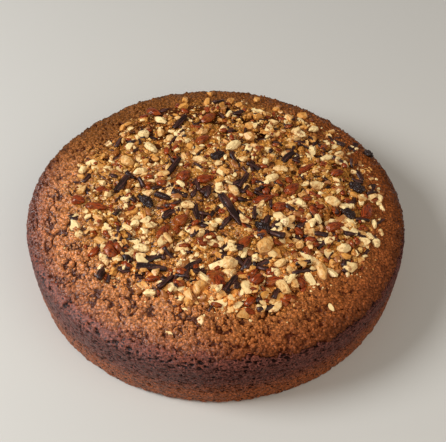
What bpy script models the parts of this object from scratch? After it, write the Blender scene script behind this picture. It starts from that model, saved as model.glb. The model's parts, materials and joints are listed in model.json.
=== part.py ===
"""A whole round honey cake, 236 mm across, with a crumbly crust and a topping of chopped nuts.

The cake is one solid: a superellipse dome over a straight side, with the small chopped nuts fused on.
Each topping as large as a berry is a solid of its own: nut pieces, red-skinned almonds, raisins and
slivers of dark dried fruit. They are bedded on the dome with a fine gap under them.
Units are metres, +Z is up, and the origin is at the centre of the underside.
"""

import math
import random

import bmesh
import bpy
from mathutils import Matrix, Vector, noise

MM = 0.001

# The cake's turned form
CAKE_RADIUS = 118 * MM  # widest, where the dome meets the side
WALL_HEIGHT = 35.5 * MM  # height of that widest ring
CAKE_HEIGHT = 56 * MM  # middle of the dome, before its relief
DOME_FLATNESS = 2.1  # exponent of the superellipse: 2 is a plain ellipse, more is flatter
LEAN = 2.4 * MM  # how much more one edge rose in the oven than the middle did
LEAN_BEARING = math.radians(197)
FOOT_RADIUS = 115.6 * MM  # side just above the rounded foot
FOOT_HEIGHT = 2.6 * MM
SOLE_RADIUS = 113.2 * MM  # the flat underside

# Its mesh
TOP_CELLS = 32  # quads across the dome
WALL_RINGS = 4
PROFILE_STEPS = 240

# Relief baked into the dome, as (size of a swell, its height)
DOME_SWELLS = ((31 * MM, 1.4 * MM), (16 * MM, 2.4 * MM))
WALL_SWELLS = ((26 * MM, 0.5 * MM),)

# Toppings
BED_GAP = 0.35 * MM  # between a topping and the dome
TOPPING_MIDDLE = Vector((4 * MM, 6 * MM))
TOPPING_RADIUS = 84 * MM  # inside it the dome is covered, outside it chips thin out
STRAY_RADIUS = 101 * MM

# Chopped nuts fused to the dome
CHIP_COUNT = 178
CHIP_LENGTHS = (5.4 * MM, 8.6 * MM)
CHIP_JITTER = 3.2 * MM
CHIP_CLEARANCE = 0.9 * MM
CHIP_LIFT = 0.16  # share of its thickness that a chip's middle lies above the crust
CHIP_SEED = 4100
STRAYS_KEPT = 0.65  # share of the chips that stay just outside the topping's edge
GOLDEN_ANGLE = math.pi * (3 - math.sqrt(5))

# Large toppings, one row each in whole millimetres and degrees:
# across (+X), away (+Y), length, width, heading from +X
NUTS = (
    (-37, 69, 12, 6, -29), (-42, 41, 14, 7, -37), (-11, 28, 13, 6, -26), (-56, 28, 13, 8, -44),
    (-9, 55, 12, 5, 21), (11, 40, 13, 7, 40), (-48, 18, 12, 6, 2), (11, 0, 11, 6, -59),
    (-44, -44, 12, 7, -6), (-9, -73, 13, 7, 57), (8, -55, 11, 10, -4), (29, -44, 16, 10, 64),
    (38, -54, 11, 7, 41), (61, -56, 18, 8, -66), (35, 13, 13, 7, 29),
    (72, -3, 14, 8, -35), (41, 22, 13, 6, -3), (70, 34, 12, 5, 26), (76, -40, 11, 8, 30),
    (65, 65, 12, 5, 24),
)
ALMONDS = (
    (-5, 72, 15, 7, 53), (-42, 79, 12, 6, -34), (-9, 47, 11, 7, 40), (-20, 13, 13, 9, 57),
    (-7, 11, 13, 7, 18), (-21, -24, 10, 9, 38), (-31, -33, 15, 7, 68),
    (0, -64, 12, 7, 14), (29, -5, 15, 6, 21), (47, 5, 13, 8, 49), (39, -12, 10, 7, 24),
    (17, -40, 11, 7, 53), (33, -67, 11, 7, 14), (72, -24, 14, 7, 32), (57, 24, 15, 5, 40),
    (-85, -3, 10, 7, -17), (-73, -10, 15, 7, -17), (93, -8, 17, 8, 73), (77, 23, 11, 6, 33),
)
SLIVERS = (
    (-24, 66, 15, 5, 60), (-27, 21, 18, 5, 63), (-58, 7, 15, 7, 65), (-32, -4, 12, 5, -25),
    (-12, -17, 14, 5, -79), (9, -15, 28, 6, -64), (-37, -58, 18, 6, -8), (-13, -57, 12, 5, 37),
    (9, -70, 14, 6, 62), (17, 10, 14, 5, 66), (46, 34, 11, 5, 45),
)
RAISINS = (
    (-43, -7, 14, 7, -47), (28, -27, 12, 7, -19), (1, 31, 11, 8, 41), (88, 10, 12, 8, -38),
    (81, -13, 10, 8, -44), (100, 48, 8, 6, -17),
)

# Share of a topping's width that it is thick, and share of its thickness that lies under the dome
THICKNESS = {"nut": 0.72, "almond": 0.74, "sliver": 0.8, "raisin": 0.78}
SUNK = {"nut": 0.2, "almond": 0.24, "sliver": 0.2, "raisin": 0.24}
MOST_ROLL = 0.3  # radians that a topping may be rolled about its length
CRESCENTS = {3, 10, 14}  # the nuts that are curved like a cashew, by number
SLIVER_STATIONS, SLIVER_SIDES = 4, 8
VALLEY = 0.76  # girth of a sliver between its ridges, as a share of the girth on them


# ---------------------------------------------------------------- the cake's form


def dome_point(angle):
    """(radius, height) on the superellipse, from the middle (0) to the widest ring (a right angle)."""
    radius = CAKE_RADIUS * math.sin(angle) ** (2 / DOME_FLATNESS)
    return radius, WALL_HEIGHT + (CAKE_HEIGHT - WALL_HEIGHT) * math.cos(angle)


def even_dome_points():
    """Points down the dome's profile, evenly spaced along it."""
    fine = [dome_point(math.pi / 2 * i / PROFILE_STEPS) for i in range(PROFILE_STEPS + 1)]
    run = [0.0]
    for near, far in zip(fine, fine[1:]):
        run.append(run[-1] + math.dist(near, far))
    points, k = [], 0
    for i in range(PROFILE_STEPS + 1):
        wanted = run[-1] * i / PROFILE_STEPS
        while k < PROFILE_STEPS - 1 and run[k + 1] < wanted:
            k += 1
        share = (wanted - run[k]) / (run[k + 1] - run[k])
        points.append([a + (b - a) * share for a, b in zip(fine[k], fine[k + 1])])
    return points


def swell(place, swells):
    return sum(height * noise.noise(place / size) for size, height in swells)


def crust_above(x, y, dome):
    """Height of the crust over a place where the smooth dome has this height."""
    radius = math.hypot(x, y)
    lean = LEAN * radius / CAKE_RADIUS * math.cos(math.atan2(y, x) - LEAN_BEARING)
    fade = max(0.0, 1 - (radius / CAKE_RADIUS) ** 8)
    return dome + lean + fade * swell(Vector((x, y, 0)), DOME_SWELLS)


def crust_height(x, y):
    share = min(1.0, math.hypot(x, y) / CAKE_RADIUS)
    rise = math.sqrt(max(0.0, 1 - share**DOME_FLATNESS))
    return crust_above(x, y, WALL_HEIGHT + (CAKE_HEIGHT - WALL_HEIGHT) * rise)


def round_off(a, b):
    """Takes a place on the square grid, -1 to 1 both ways, to (share of the radius, bearing)."""
    if abs(a) < 1e-9 and abs(b) < 1e-9:
        return 0.0, 0.0
    if abs(a) > abs(b):
        share, bearing = a, math.pi / 4 * b / a
    else:
        share, bearing = b, math.pi / 2 - math.pi / 4 * a / b
    return (share, bearing) if share >= 0 else (-share, bearing + math.pi)


def dome_grid(bm):
    """The domed top: a square grid of cells wrapped onto the round dome."""
    bmesh.ops.create_grid(bm, x_segments=TOP_CELLS, y_segments=TOP_CELLS, size=1)
    profile = even_dome_points()
    for v in bm.verts:
        share, bearing = round_off(v.co.x, v.co.y)
        radius, height = profile[round(share * PROFILE_STEPS)]
        x, y = radius * math.cos(bearing), radius * math.sin(bearing)
        v.co = (x, y, crust_above(x, y, height))


def wall_place(out, drop):
    """A point of the side in this direction, this share of the way from the widest ring to the foot."""
    top = crust_height(*(out * CAKE_RADIUS).xy)
    up = Vector((0, 0, top + (FOOT_HEIGHT - top) * drop))
    radius = CAKE_RADIUS + (FOOT_RADIUS - CAKE_RADIUS) * drop**2
    if drop < 1:
        radius += swell(out * CAKE_RADIUS + up, WALL_SWELLS)
    return out * radius + up


def next_ring(bm, rim, place):
    """Extrudes the open rim, and puts each new corner where place() says for its direction."""
    made = bmesh.ops.extrude_edge_only(bm, edges=rim)["geom"]
    for v in (g for g in made if isinstance(g, bmesh.types.BMVert)):
        v.co = place(Vector((v.co.x, v.co.y, 0)).normalized())
    return [g for g in made if isinstance(g, bmesh.types.BMEdge) and g.is_boundary]


def cake_mesh():
    bm = bmesh.new()
    dome_grid(bm)
    rim = [e for e in bm.edges if e.is_boundary]
    for i in range(1, WALL_RINGS + 1):
        rim = next_ring(bm, rim, lambda out: wall_place(out, i / WALL_RINGS))
    for radius, height in (((FOOT_RADIUS * 2 + SOLE_RADIUS) / 3, FOOT_HEIGHT / 4), (SOLE_RADIUS, 0)):
        rim = next_ring(bm, rim, lambda out: out * radius + Vector((0, 0, height)))
    bmesh.ops.contextual_create(bm, geom=rim)
    bmesh.ops.triangulate(bm, faces=bm.faces[:], quad_method="SHORT_EDGE")
    bmesh.ops.recalc_face_normals(bm, faces=bm.faces)
    mesh = bpy.data.meshes.new("cake")
    bm.to_mesh(mesh)
    bm.free()
    return mesh


# ---------------------------------------------------------------- the toppings' forms


def cut_flat(bm, normal, distance):
    """Cuts off what lies beyond a plane, and closes the cut with a flat face."""
    bmesh.ops.bisect_plane(
        bm,
        geom=bm.verts[:] + bm.edges[:] + bm.faces[:],
        plane_co=normal * distance,
        plane_no=normal,
        clear_outer=True,
    )
    bmesh.ops.holes_fill(bm, edges=[e for e in bm.edges if e.is_boundary])


def stretch(bm, length, width, thick):
    bmesh.ops.scale(bm, vec=(length / 2, width / 2, thick / 2), verts=bm.verts)


def nut_form(bm, length, width, thick, draw, cuts=5, curved=False):
    """A chopped nut: a rounded lump with flat faces where the knife went through."""
    bmesh.ops.create_icosphere(bm, subdivisions=1, radius=1.12)
    for i in range(cuts):
        bearing = math.tau * (i + draw.uniform(-0.25, 0.25)) / cuts
        lean = draw.uniform(-0.1, 0.75)
        normal = Vector((math.cos(bearing), math.sin(bearing), lean)).normalized()
        cut_flat(bm, normal, draw.uniform(0.68, 0.92))
    stretch(bm, length, width, thick)
    if curved:
        for v in bm.verts:
            v.co.y -= width * 0.55 * ((2 * v.co.x / length) ** 2 - 0.4)


def almond_form(bm, length, width, thick, draw):
    """A piece of almond in its skin: a teardrop, chopped square at the blunt end."""
    turned = Matrix.Rotation(math.pi / 2, 4, "Y")
    bmesh.ops.create_uvsphere(bm, u_segments=8, v_segments=5, radius=1.0, matrix=turned)
    for v in bm.verts:
        slim = 1 - 0.3 * v.co.x - 0.12 * v.co.x**2
        v.co.y *= slim
        v.co.z *= slim
    cut_flat(bm, Vector((-1, draw.uniform(-0.3, 0.3), 0.25)).normalized(), draw.uniform(0.72, 0.95))
    stretch(bm, length * 1.05, width, thick)


def sliver_form(bm, length, width, thick, draw):
    """A sliver of dark dried fruit: a ridged, slightly bent stick that thins at one end."""
    made = bmesh.ops.create_circle(bm, segments=SLIVER_SIDES, radius=1.0, cap_ends=True)
    for v in made["verts"]:
        v.co = (-1, v.co.x, v.co.y)
    cap = bm.faces[:]
    for i in range(1, SLIVER_STATIONS):
        made = bmesh.ops.extrude_face_region(bm, geom=cap)["geom"]
        for v in (g for g in made if isinstance(g, bmesh.types.BMVert)):
            v.co.x = -1 + 2 * i / (SLIVER_STATIONS - 1)
        bmesh.ops.delete(bm, geom=cap, context="FACES_ONLY")
        cap = [g for g in made if isinstance(g, bmesh.types.BMFace)]
    bmesh.ops.holes_fill(bm, edges=[e for e in bm.edges if e.is_boundary])
    bend = draw.uniform(-0.35, 0.35)
    for v in bm.verts:
        girth = 1 - 0.16 * v.co.x - 0.25 * abs(v.co.x) ** 3 + draw.uniform(-0.05, 0.05)
        if round(math.atan2(v.co.z, v.co.y) / math.tau * SLIVER_SIDES) % 2 == 0:
            girth *= VALLEY
        v.co.y = v.co.y * girth + bend * (v.co.x**2 - 0.5)
        v.co.z *= girth
    stretch(bm, length, width, thick)


def raisin_form(bm, length, width, thick, draw):
    """A raisin: an egg with puckered hollows."""
    bmesh.ops.create_icosphere(bm, subdivisions=2, radius=1.0)
    shift = Vector((draw.uniform(0, 50), draw.uniform(0, 50), 0))
    for v in bm.verts:
        v.co *= 1 + 0.2 * noise.noise(v.co * 1.7 + shift)
    stretch(bm, length, width, thick)


FORMS = {"almond": almond_form, "sliver": sliver_form, "raisin": raisin_form}


def bedded(x, y, heading, roll, lift):
    """The matrix that lays a form on the dome: turned, rolled, tilted with the slope and lifted."""
    step = 3 * MM
    rise_x = (crust_height(x + step, y) - crust_height(x - step, y)) / (2 * step)
    rise_y = (crust_height(x, y + step) - crust_height(x, y - step)) / (2 * step)
    slope = Vector((0, 0, 1)).rotation_difference(Vector((-rise_x, -rise_y, 1)))
    place = Vector((x, y, crust_height(x, y) + lift))
    turn = slope.to_matrix().to_4x4() @ Matrix.Rotation(heading, 4, "Z") @ Matrix.Rotation(roll, 4, "X")
    return Matrix.Translation(place) @ turn


def solid(name, bm, matrix, material):
    """A finished form as an object in its place."""
    bmesh.ops.recalc_face_normals(bm, faces=bm.faces)
    mesh = bpy.data.meshes.new(name)
    bm.to_mesh(mesh)
    bm.free()
    mesh.materials.append(material)
    obj = bpy.data.objects.new(name, mesh)
    bpy.context.collection.objects.link(obj)
    obj.matrix_world = matrix
    return obj


# ---------------------------------------------------------------- chips fused to the dome


def gap_to_toppings(x, y):
    """Distance from a place to the edge of the nearest large topping."""
    nearest = CAKE_RADIUS
    for across, away, length, width, heading in NUTS + ALMONDS + SLIVERS + RAISINS:
        axis = Vector((math.cos(math.radians(heading)), math.sin(math.radians(heading))))
        half = max(0.0, length - width) / 2 * MM
        offset = Vector((x - across * MM, y - away * MM))
        along = max(-half, min(half, offset.dot(axis)))
        nearest = min(nearest, (offset - axis * along).length - width / 2 * MM)
    return nearest


def chip_places():
    """(x, y, length, heading, draw) of each chip: a sunflower spiral, shaken, and thinned outside."""
    for i in range(CHIP_COUNT):
        draw = random.Random(CHIP_SEED + i)
        length = CHIP_LENGTHS[0] + (CHIP_LENGTHS[1] - CHIP_LENGTHS[0]) * draw.random() ** 1.5
        radius = STRAY_RADIUS * math.sqrt((i + 0.5) / CHIP_COUNT)
        spot = Vector((radius * math.cos(i * GOLDEN_ANGLE), radius * math.sin(i * GOLDEN_ANGLE)))
        spot += Vector((draw.uniform(-1, 1), draw.uniform(-1, 1))) * CHIP_JITTER + TOPPING_MIDDLE
        outside = ((spot - TOPPING_MIDDLE).length - TOPPING_RADIUS) / (STRAY_RADIUS - TOPPING_RADIUS)
        heading = draw.uniform(0, math.pi)
        kept = STRAYS_KEPT * (1 - outside) if outside > 0 else 1
        if draw.random() > kept or gap_to_toppings(*spot) < length / 2 + CHIP_CLEARANCE:
            continue
        yield spot.x, spot.y, length, heading, draw


def fuse_chips(cake, material):
    """Joins the chopped nuts to the cake as one solid."""
    chips = bpy.data.collections.new("chips")
    bpy.context.scene.collection.children.link(chips)
    for i, (x, y, length, heading, draw) in enumerate(chip_places()):
        bm = bmesh.new()
        width = length * draw.uniform(0.55, 0.8)
        thick = width * draw.uniform(0.7, 0.95)
        nut_form(bm, length, width, thick, draw, cuts=3)
        roll = draw.uniform(-MOST_ROLL, MOST_ROLL)
        obj = solid(f"chip_{i}", bm, bedded(x, y, heading, roll, thick * CHIP_LIFT), material)
        chips.objects.link(obj)
        bpy.context.collection.objects.unlink(obj)
    join = cake.modifiers.new("fuse_chips", "BOOLEAN")
    join.operation = "UNION"
    join.operand_type = "COLLECTION"
    join.collection = chips
    join.solver = "EXACT"
    bpy.context.view_layer.update()
    fused = bpy.data.meshes.new_from_object(cake.evaluated_get(bpy.context.evaluated_depsgraph_get()))
    cake.modifiers.clear()
    cake.data = fused
    for obj in list(chips.objects):
        bpy.data.objects.remove(obj)
    bpy.data.collections.remove(chips)


# ---------------------------------------------------------------- the whole


def finish(name, colour, roughness):
    """A plain Principled material."""
    material = bpy.data.materials.new(name)
    material.use_nodes = True
    shader = material.node_tree.nodes["Principled BSDF"]
    shader.inputs["Base Color"].default_value = (*colour, 1)
    shader.inputs["Roughness"].default_value = roughness
    return material


def large_toppings(bed, materials):
    """Each large topping as a solid of its own, cut to the dome that it lies on."""
    for kind, rows in (("nut", NUTS), ("almond", ALMONDS), ("sliver", SLIVERS), ("raisin", RAISINS)):
        for number, (across, away, length, width, heading) in enumerate(rows, 1):
            draw = random.Random(f"{kind} {number}")
            bm = bmesh.new()
            size = (length * MM, width * MM, width * THICKNESS[kind] * MM)
            if kind == "nut":
                nut_form(bm, *size, draw, curved=number in CRESCENTS)
            else:
                FORMS[kind](bm, *size, draw)
            lift = size[2] * (0.5 - SUNK[kind])
            roll = draw.uniform(-MOST_ROLL, MOST_ROLL)
            matrix = bedded(across * MM, away * MM, math.radians(heading), roll, lift)
            obj = solid(f"{kind}_{number:02d}", bm, matrix, materials[kind])
            cut = obj.modifiers.new("bed", "BOOLEAN")
            cut.operation = "DIFFERENCE"
            cut.object = bed
            cut.solver = "EXACT"


def main():
    for obj in list(bpy.data.objects):
        bpy.data.objects.remove(obj)
    materials = {
        "crust": finish("crust", (0.26, 0.1, 0.042), 0.6),
        "nut": finish("nut_flesh", (0.76, 0.52, 0.24), 0.45),
        "almond": finish("almond_skin", (0.25, 0.045, 0.02), 0.35),
        "sliver": finish("dried_fruit", (0.05, 0.02, 0.015), 0.45),
        "raisin": finish("raisin_skin", (0.035, 0.015, 0.014), 0.35),
    }
    body = cake_mesh()
    body.materials.append(materials["crust"])
    cake = bpy.data.objects.new("cake", body)
    bpy.context.collection.objects.link(cake)
    bed = bpy.data.objects.new("bed", body.copy())
    bpy.context.collection.objects.link(bed)
    bed.location.z = BED_GAP
    bed.hide_render = True
    bed.display_type = "WIRE"
    fuse_chips(cake, materials["crust"])
    large_toppings(bed, materials)


main()
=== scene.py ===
"""A whole honey cake: crumbly baked crust, honey-glazed middle, and a topping of nuts and dried fruit.

Laid out as an add-on: its panel in the 3D view's sidebar lists the pieces, and each piece has an operator.
Sizes are in metres, +Z is up.
"""

import json
import math

import bmesh
import bpy
import numpy as np
from bpy.props import (
    FloatProperty,
    FloatVectorProperty,
    IntProperty,
    PointerProperty,
)
from mathutils import Matrix, Vector, noise
from mathutils.bvhtree import BVHTree

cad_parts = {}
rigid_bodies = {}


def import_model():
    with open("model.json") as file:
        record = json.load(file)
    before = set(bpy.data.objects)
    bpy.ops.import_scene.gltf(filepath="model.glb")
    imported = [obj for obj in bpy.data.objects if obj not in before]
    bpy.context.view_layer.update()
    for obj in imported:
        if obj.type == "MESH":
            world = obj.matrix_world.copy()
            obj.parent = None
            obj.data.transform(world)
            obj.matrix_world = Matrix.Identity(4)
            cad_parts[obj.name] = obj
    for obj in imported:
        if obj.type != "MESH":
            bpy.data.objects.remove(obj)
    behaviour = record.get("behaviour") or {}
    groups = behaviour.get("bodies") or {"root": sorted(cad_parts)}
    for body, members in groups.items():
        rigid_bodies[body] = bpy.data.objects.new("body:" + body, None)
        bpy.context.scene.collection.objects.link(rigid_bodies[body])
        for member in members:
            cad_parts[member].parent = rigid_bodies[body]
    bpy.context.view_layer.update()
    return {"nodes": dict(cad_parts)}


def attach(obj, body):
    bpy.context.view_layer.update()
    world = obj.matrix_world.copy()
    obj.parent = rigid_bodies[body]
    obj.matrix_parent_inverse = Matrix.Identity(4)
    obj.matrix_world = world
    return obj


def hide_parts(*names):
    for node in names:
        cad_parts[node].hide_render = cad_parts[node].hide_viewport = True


bl_info = {
    "name": "Honey cake",
    "version": (1, 0, 0),
    "blender": (4, 5, 0),
    "location": "View3D > Sidebar > Honey cake",
    "description": "Builds a honey cake with a crumbly crust and a nut and fruit topping",
    "category": "Add Mesh",
}

MM = 0.001
MERGE_DISTANCE = 1e-6
NOISE_SEED = 7

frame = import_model()


# ---------------------------------------------------------------- settings


def length(name, description, default):
    return FloatProperty(name=name, description=description, default=default, unit="LENGTH", precision=5)


def colour(name, description, default):
    return FloatVectorProperty(
        name=name, description=description, default=default, subtype="COLOR", size=3, min=0, max=1
    )


def count(name, description, default):
    return IntProperty(name=name, description=description, default=default, min=0)


class HoneyCakeForm(bpy.types.PropertyGroup):
    """Sizes of the cake under its topping"""

    radius: length("Radius", "Widest radius, where the dome meets the side", 118 * MM)
    wall_height: length("Side height", "Height of the widest ring", 35.5 * MM)
    height: length("Height", "Height of the middle of the dome", 56 * MM)
    flatness: FloatProperty(name="Flatness", description="Exponent of the dome's profile", default=2.1)
    lean: length("Lean", "How much more one edge rose than the middle", 2.4 * MM)
    lean_bearing: FloatProperty(
        name="Lean bearing",
        description="Where the higher edge is",
        default=math.radians(197),
        unit="ROTATION",
    )
    foot_radius: length("Foot radius", "Radius of the side just above its rounded foot", 115.6 * MM)
    foot_height: length("Foot height", "Height of the rounded foot", 2.6 * MM)
    sole_radius: length("Sole radius", "Radius of the flat underside", 113.2 * MM)
    crust_edge: length("Crust edge", "Height at which the top crust gives way to the side", 41.8 * MM)
    middle_radius: length("Middle radius", "Where the middle of the top meets its outer ring", 84 * MM)
    wall_start: length("Side start", "Radius at which the side begins, under the top crust", 107 * MM)
    clump: length("Clumps", "Size of the clumps that the top crust is broken into", 4.5 * MM)
    crumb: length("Crumbs", "Size of the crumbs within a clump", 2.3 * MM)
    ring_spacing: length("Crumbs on the ring", "Distance between loose crumbs on the ring", 2.9 * MM)
    middle_spacing: length("Crumbs in the middle", "Distance between loose crumbs in the middle", 3.1 * MM)
    middle_cells: count("Middle cells", "Quads across the middle of the top crust", 262)
    ring_segments: count("Ring segments", "Quads round the outer ring of the top crust", 1150)
    ring_rows: count("Ring rows", "Quads across the outer ring", 78)
    wall_segments: count("Side segments", "Quads round the side", 980)
    shoulder_rows: count("Shoulder rows", "Quads down the side's part of the dome", 24)
    wall_rows: count("Side rows", "Quads down the side", 62)


class HoneyCakeTopping(bpy.types.PropertyGroup):
    """Sizes and numbers of what lies on the cake"""

    middle_x: length("Middle X", "Middle of the topping, across", 5 * MM)
    middle_y: length("Middle Y", "Middle of the topping, away", 6 * MM)
    radius: length("Radius", "Mean radius of the topping", 86 * MM)
    ragged: length("Raggedness", "How far the topping's edge wanders", 9 * MM)
    chips: count("Chips", "Small chopped nuts", 740)
    glazed_chips: count("Glazed chips", "Small nuts coloured by the oven and the glaze", 440)
    crumbles: count("Crumbles", "Small toasted heaps of crumb", 260)
    clusters: count("Clusters", "Larger clusters of nut and crumb", 150)
    specks: count("Specks", "Tiny crumbs of nut", 1200)
    red_bits: count("Red bits", "Small pieces of skinned nut", 340)
    dark_bits: count("Dark bits", "Small pieces of dark fruit", 300)


class HoneyCakeFinish(bpy.types.PropertyGroup):
    """Colours of the cake, its topping and the stage"""

    glazed: colour("Glazed crumb", "Honey-glazed crumb between the nuts", (0.56, 0.235, 0.042))
    glazed_pale: colour("Pale crumb", "Fine nut crumb in the glaze", (0.84, 0.49, 0.15))
    # Partly painted light: the glazed crumb turns toward this lighter colour on the near side, for a thinner
    # glaze and for painted light there.
    thin: colour("Thin glaze", "Crumb where the glaze thins out on the near side", (0.96, 0.35, 0.074))
    toasted: colour("Toasted crumb", "Browned clusters of crumb", (0.43, 0.132, 0.021))
    baked: colour("Baked crumb", "Crumbs of the top crust outside the topping", (0.64, 0.224, 0.063))
    baked_dark: colour("Dark crumb", "The brownest crumbs of the top crust", (0.39, 0.104, 0.031))
    shoulder: colour("Shoulder", "The reddest crumb, at the shoulder", (0.30, 0.074, 0.036))
    # Partly painted shade: the far rim is made browner and darker, for the crumb's colour and for the shade
    # there.
    far_rim_and_shade: colour("Far rim", "Browner crumb round the far side", (0.235, 0.078, 0.016))
    # Partly painted shade: the browner side of the top stands both for the oven's browning and for the shade
    # away from the window lamp.
    scorched_and_shaded: colour("Scorched side", "The brownest side of the top", (0.28, 0.070, 0.013))
    # Painted shade: this near-black brown stands for the shade in the gaps between the nuts and on the
    # darkest crumbs.
    soaked: colour("Soaked crumb", "Dark crumb between the nuts", (0.06, 0.011, 0.001))
    # Painted shade: this dark red-brown stands for the shade in the cracks between the crumbs.
    crevice_shade: colour("Crevices", "Cracks between the crumbs", (0.07, 0.011, 0.003))
    side_upper: colour("Upper side", "Dark band below the top crust", (0.130, 0.041, 0.030))
    # Partly painted light: the paler, warmer colour near the foot stands both for the crumb's colour and for
    # light bounced up from below.
    side_lower_and_bounce_light: colour("Lower side", "Paler band near the foot", (0.285, 0.076, 0.024))
    # Painted shade: the near-black colour of the pores stands for the shade inside the holes.
    pore: colour("Pores", "Holes in the side", (0.016, 0.005, 0.004))
    nut_pale: colour("Pale nut", "Freshly cut nut", (1.0, 0.72, 0.33))
    nut_gold: colour("Golden nut", "Nut coloured by the oven", (0.74, 0.31, 0.055))
    nut_toasted: colour("Toasted nut", "Nut's browned edges", (0.30, 0.085, 0.018))
    skin: colour("Nut skin", "Red-brown skin", (0.33, 0.045, 0.006))
    skin_dark: colour("Nut skin, dark", "The skin's wrinkles", (0.075, 0.009, 0.002))
    fruit: colour("Dried fruit", "Ridges of the dark slivers", (0.100, 0.032, 0.021))
    # Painted shade: the near-black colour that stands for the shade in the furrows and folds of the dark
    # fruit.
    fruit_furrow_shade: colour("Dried fruit, dark", "Furrows of the dark slivers", (0.018, 0.005, 0.002))
    raisin: colour("Raisin", "Raisin skin", (0.045, 0.017, 0.011))
    floor: colour("Floor", "The plain floor", (0.62, 0.58, 0.52))


class HoneyCakeSettings(bpy.types.PropertyGroup):
    """All that a user would change"""

    form: PointerProperty(type=HoneyCakeForm)
    topping: PointerProperty(type=HoneyCakeTopping)
    finish: PointerProperty(type=HoneyCakeFinish)


def settings():
    return bpy.context.scene.honey_cake


# ---------------------------------------------------------------- small helpers


def smooth_step(low, high, value):
    t = min(1.0, max(0.0, (value - low) / (high - low)))
    return t * t * (3 - 2 * t)


def mix(a, b, t):
    return a + (b - a) * t


def ripple(place, size):
    """Smooth noise, about -1 to 1, in swells of this size."""
    return noise.noise(place / size)


def nudged(place, reach, size):
    """The place moved by up to this reach, in swells of this size, so that a pattern on it isn't even."""
    return place + reach * noise.noise_vector(place / size)


def squat(place, by):
    """The place with its height stretched, so that a pattern on it is drawn out level."""
    return Vector((place.x, place.y, place.z * by))


def bearing_of(place):
    return math.atan2(place.y, place.x)


def from_middle(place):
    return math.hypot(place.x, place.y)


def boundary(bm):
    return [e for e in bm.edges if e.is_boundary]


def face_outward(bm):
    bmesh.ops.recalc_face_normals(bm, faces=bm.faces)
    bm.normal_update()


def mesh_of(name, bm):
    """The mesh of a finished bmesh, which is freed."""
    mesh = bpy.data.meshes.new(name)
    bm.to_mesh(mesh)
    bm.free()
    return mesh


def merged(node):
    """A copy of a solid, with its loose triangles joined."""
    bm = bmesh.new()
    bm.from_mesh(frame["nodes"][node].data)
    bmesh.ops.remove_doubles(bm, verts=bm.verts, dist=MERGE_DISTANCE)
    return bm


def add_attribute(mesh, name, values):
    """Stores one number, or one vector, for each point of the mesh."""
    values = np.asarray(values, np.float32)
    kind, key = ("FLOAT", "value") if values.ndim == 1 else ("FLOAT_VECTOR", "vector")
    mesh.attributes.new(name, kind, "POINT").data.foreach_set(key, values.ravel())


def piece(name, mesh, material, slot, *nodes):
    """Puts a finished mesh in the scene, riding on the cake and standing for these solids."""
    for old in [o for o in bpy.data.objects if o.name == name]:
        bpy.data.objects.remove(old)
    obj = bpy.data.objects.new(name, mesh)
    bpy.context.scene.collection.objects.link(obj)
    mesh.materials.append(material)
    mesh.shade_smooth()
    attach(obj, "root")
    if nodes:
        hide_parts(*nodes)
    return obj


# ---------------------------------------------------------------- the cake's form

# Long swells of the surface: how far apart they are, and how high.
DOME_SWELLS = ((31 * MM, 1.4 * MM), (16 * MM, 2.4 * MM))
WALL_SWELLS = ((26 * MM, 0.5 * MM),)
PROFILE_STEPS = 4000
RING_OVERLAP = 1.2 * MM
RING_WALL_ROWS = 4
RING_WALL_STEP = 0.02
FOOT_ROWS = 3
FOOT_STEP = math.pi / 2 / FOOT_ROWS


def swell(place, swells):
    return sum(height * ripple(place, size) for size, height in swells)


def lean_at(x, y):
    form = settings().form
    return form.lean * math.hypot(x, y) / form.radius * math.cos(math.atan2(y, x) - form.lean_bearing)


def crust_above(x, y, dome):
    """Height of the crust over a place where the smooth dome has this height."""
    fade = max(0.0, 1 - (math.hypot(x, y) / settings().form.radius) ** 8)
    return dome + lean_at(x, y) + fade * swell(Vector((x, y, 0)), DOME_SWELLS)


def crust_height(x, y):
    form = settings().form
    part = min(1.0, math.hypot(x, y) / form.radius)
    rise = math.sqrt(max(0.0, 1 - part**form.flatness))
    return crust_above(x, y, form.wall_height + (form.height - form.wall_height) * rise)


class Dome:
    """The dome's profile: places on it by the run from its middle and the bearing."""

    def __init__(self):
        form = settings().form
        angle = np.linspace(0, math.pi / 2, PROFILE_STEPS)
        self.radii = form.radius * np.sin(angle) ** (2 / form.flatness)
        self.heights = form.wall_height + (form.height - form.wall_height) * np.cos(angle)
        steps = np.hypot(np.diff(self.radii), np.diff(self.heights))
        self.runs = np.concatenate([[0], np.cumsum(steps)])

    def run_at(self, radius):
        return float(np.interp(radius, self.radii, self.runs))

    def place(self, run, bearing):
        radius = float(np.interp(run, self.runs, self.radii))
        height = float(np.interp(run, self.runs, self.heights))
        x, y = radius * math.cos(bearing), radius * math.sin(bearing)
        return Vector((x, y, crust_above(x, y, height)))


def round_off(a, b):
    """Takes a place on the square grid, -1 to 1 both ways, to (share of the radius, bearing)."""
    if abs(a) < 1e-9 and abs(b) < 1e-9:
        return 0.0, 0.0
    if abs(a) > abs(b):
        part, bearing = a, math.pi / 4 * b / a
    else:
        part, bearing = b, math.pi / 2 - math.pi / 4 * a / b
    return (part, bearing) if part >= 0 else (-part, bearing + math.pi)


def wall_place(out, drop):
    """A point of the side in this direction, this share of the way from the widest ring to the foot."""
    form = settings().form
    top = crust_height(*(out * form.radius).xy)
    up = Vector((0, 0, top + (form.foot_height - top) * drop))
    radius = form.radius + (form.foot_radius - form.radius) * drop**2
    radius += min(1, (1 - drop) * 4) * swell(out * form.radius + up, WALL_SWELLS)
    return out * radius + up


def foot_place(out, turn):
    """A point of the rounded foot, from the side (0) to the underside (a right angle)."""
    form = settings().form
    radius = form.sole_radius + (form.foot_radius - form.sole_radius) * math.cos(turn)
    return out * radius + Vector((0, 0, form.foot_height * (1 - math.sin(turn))))


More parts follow.
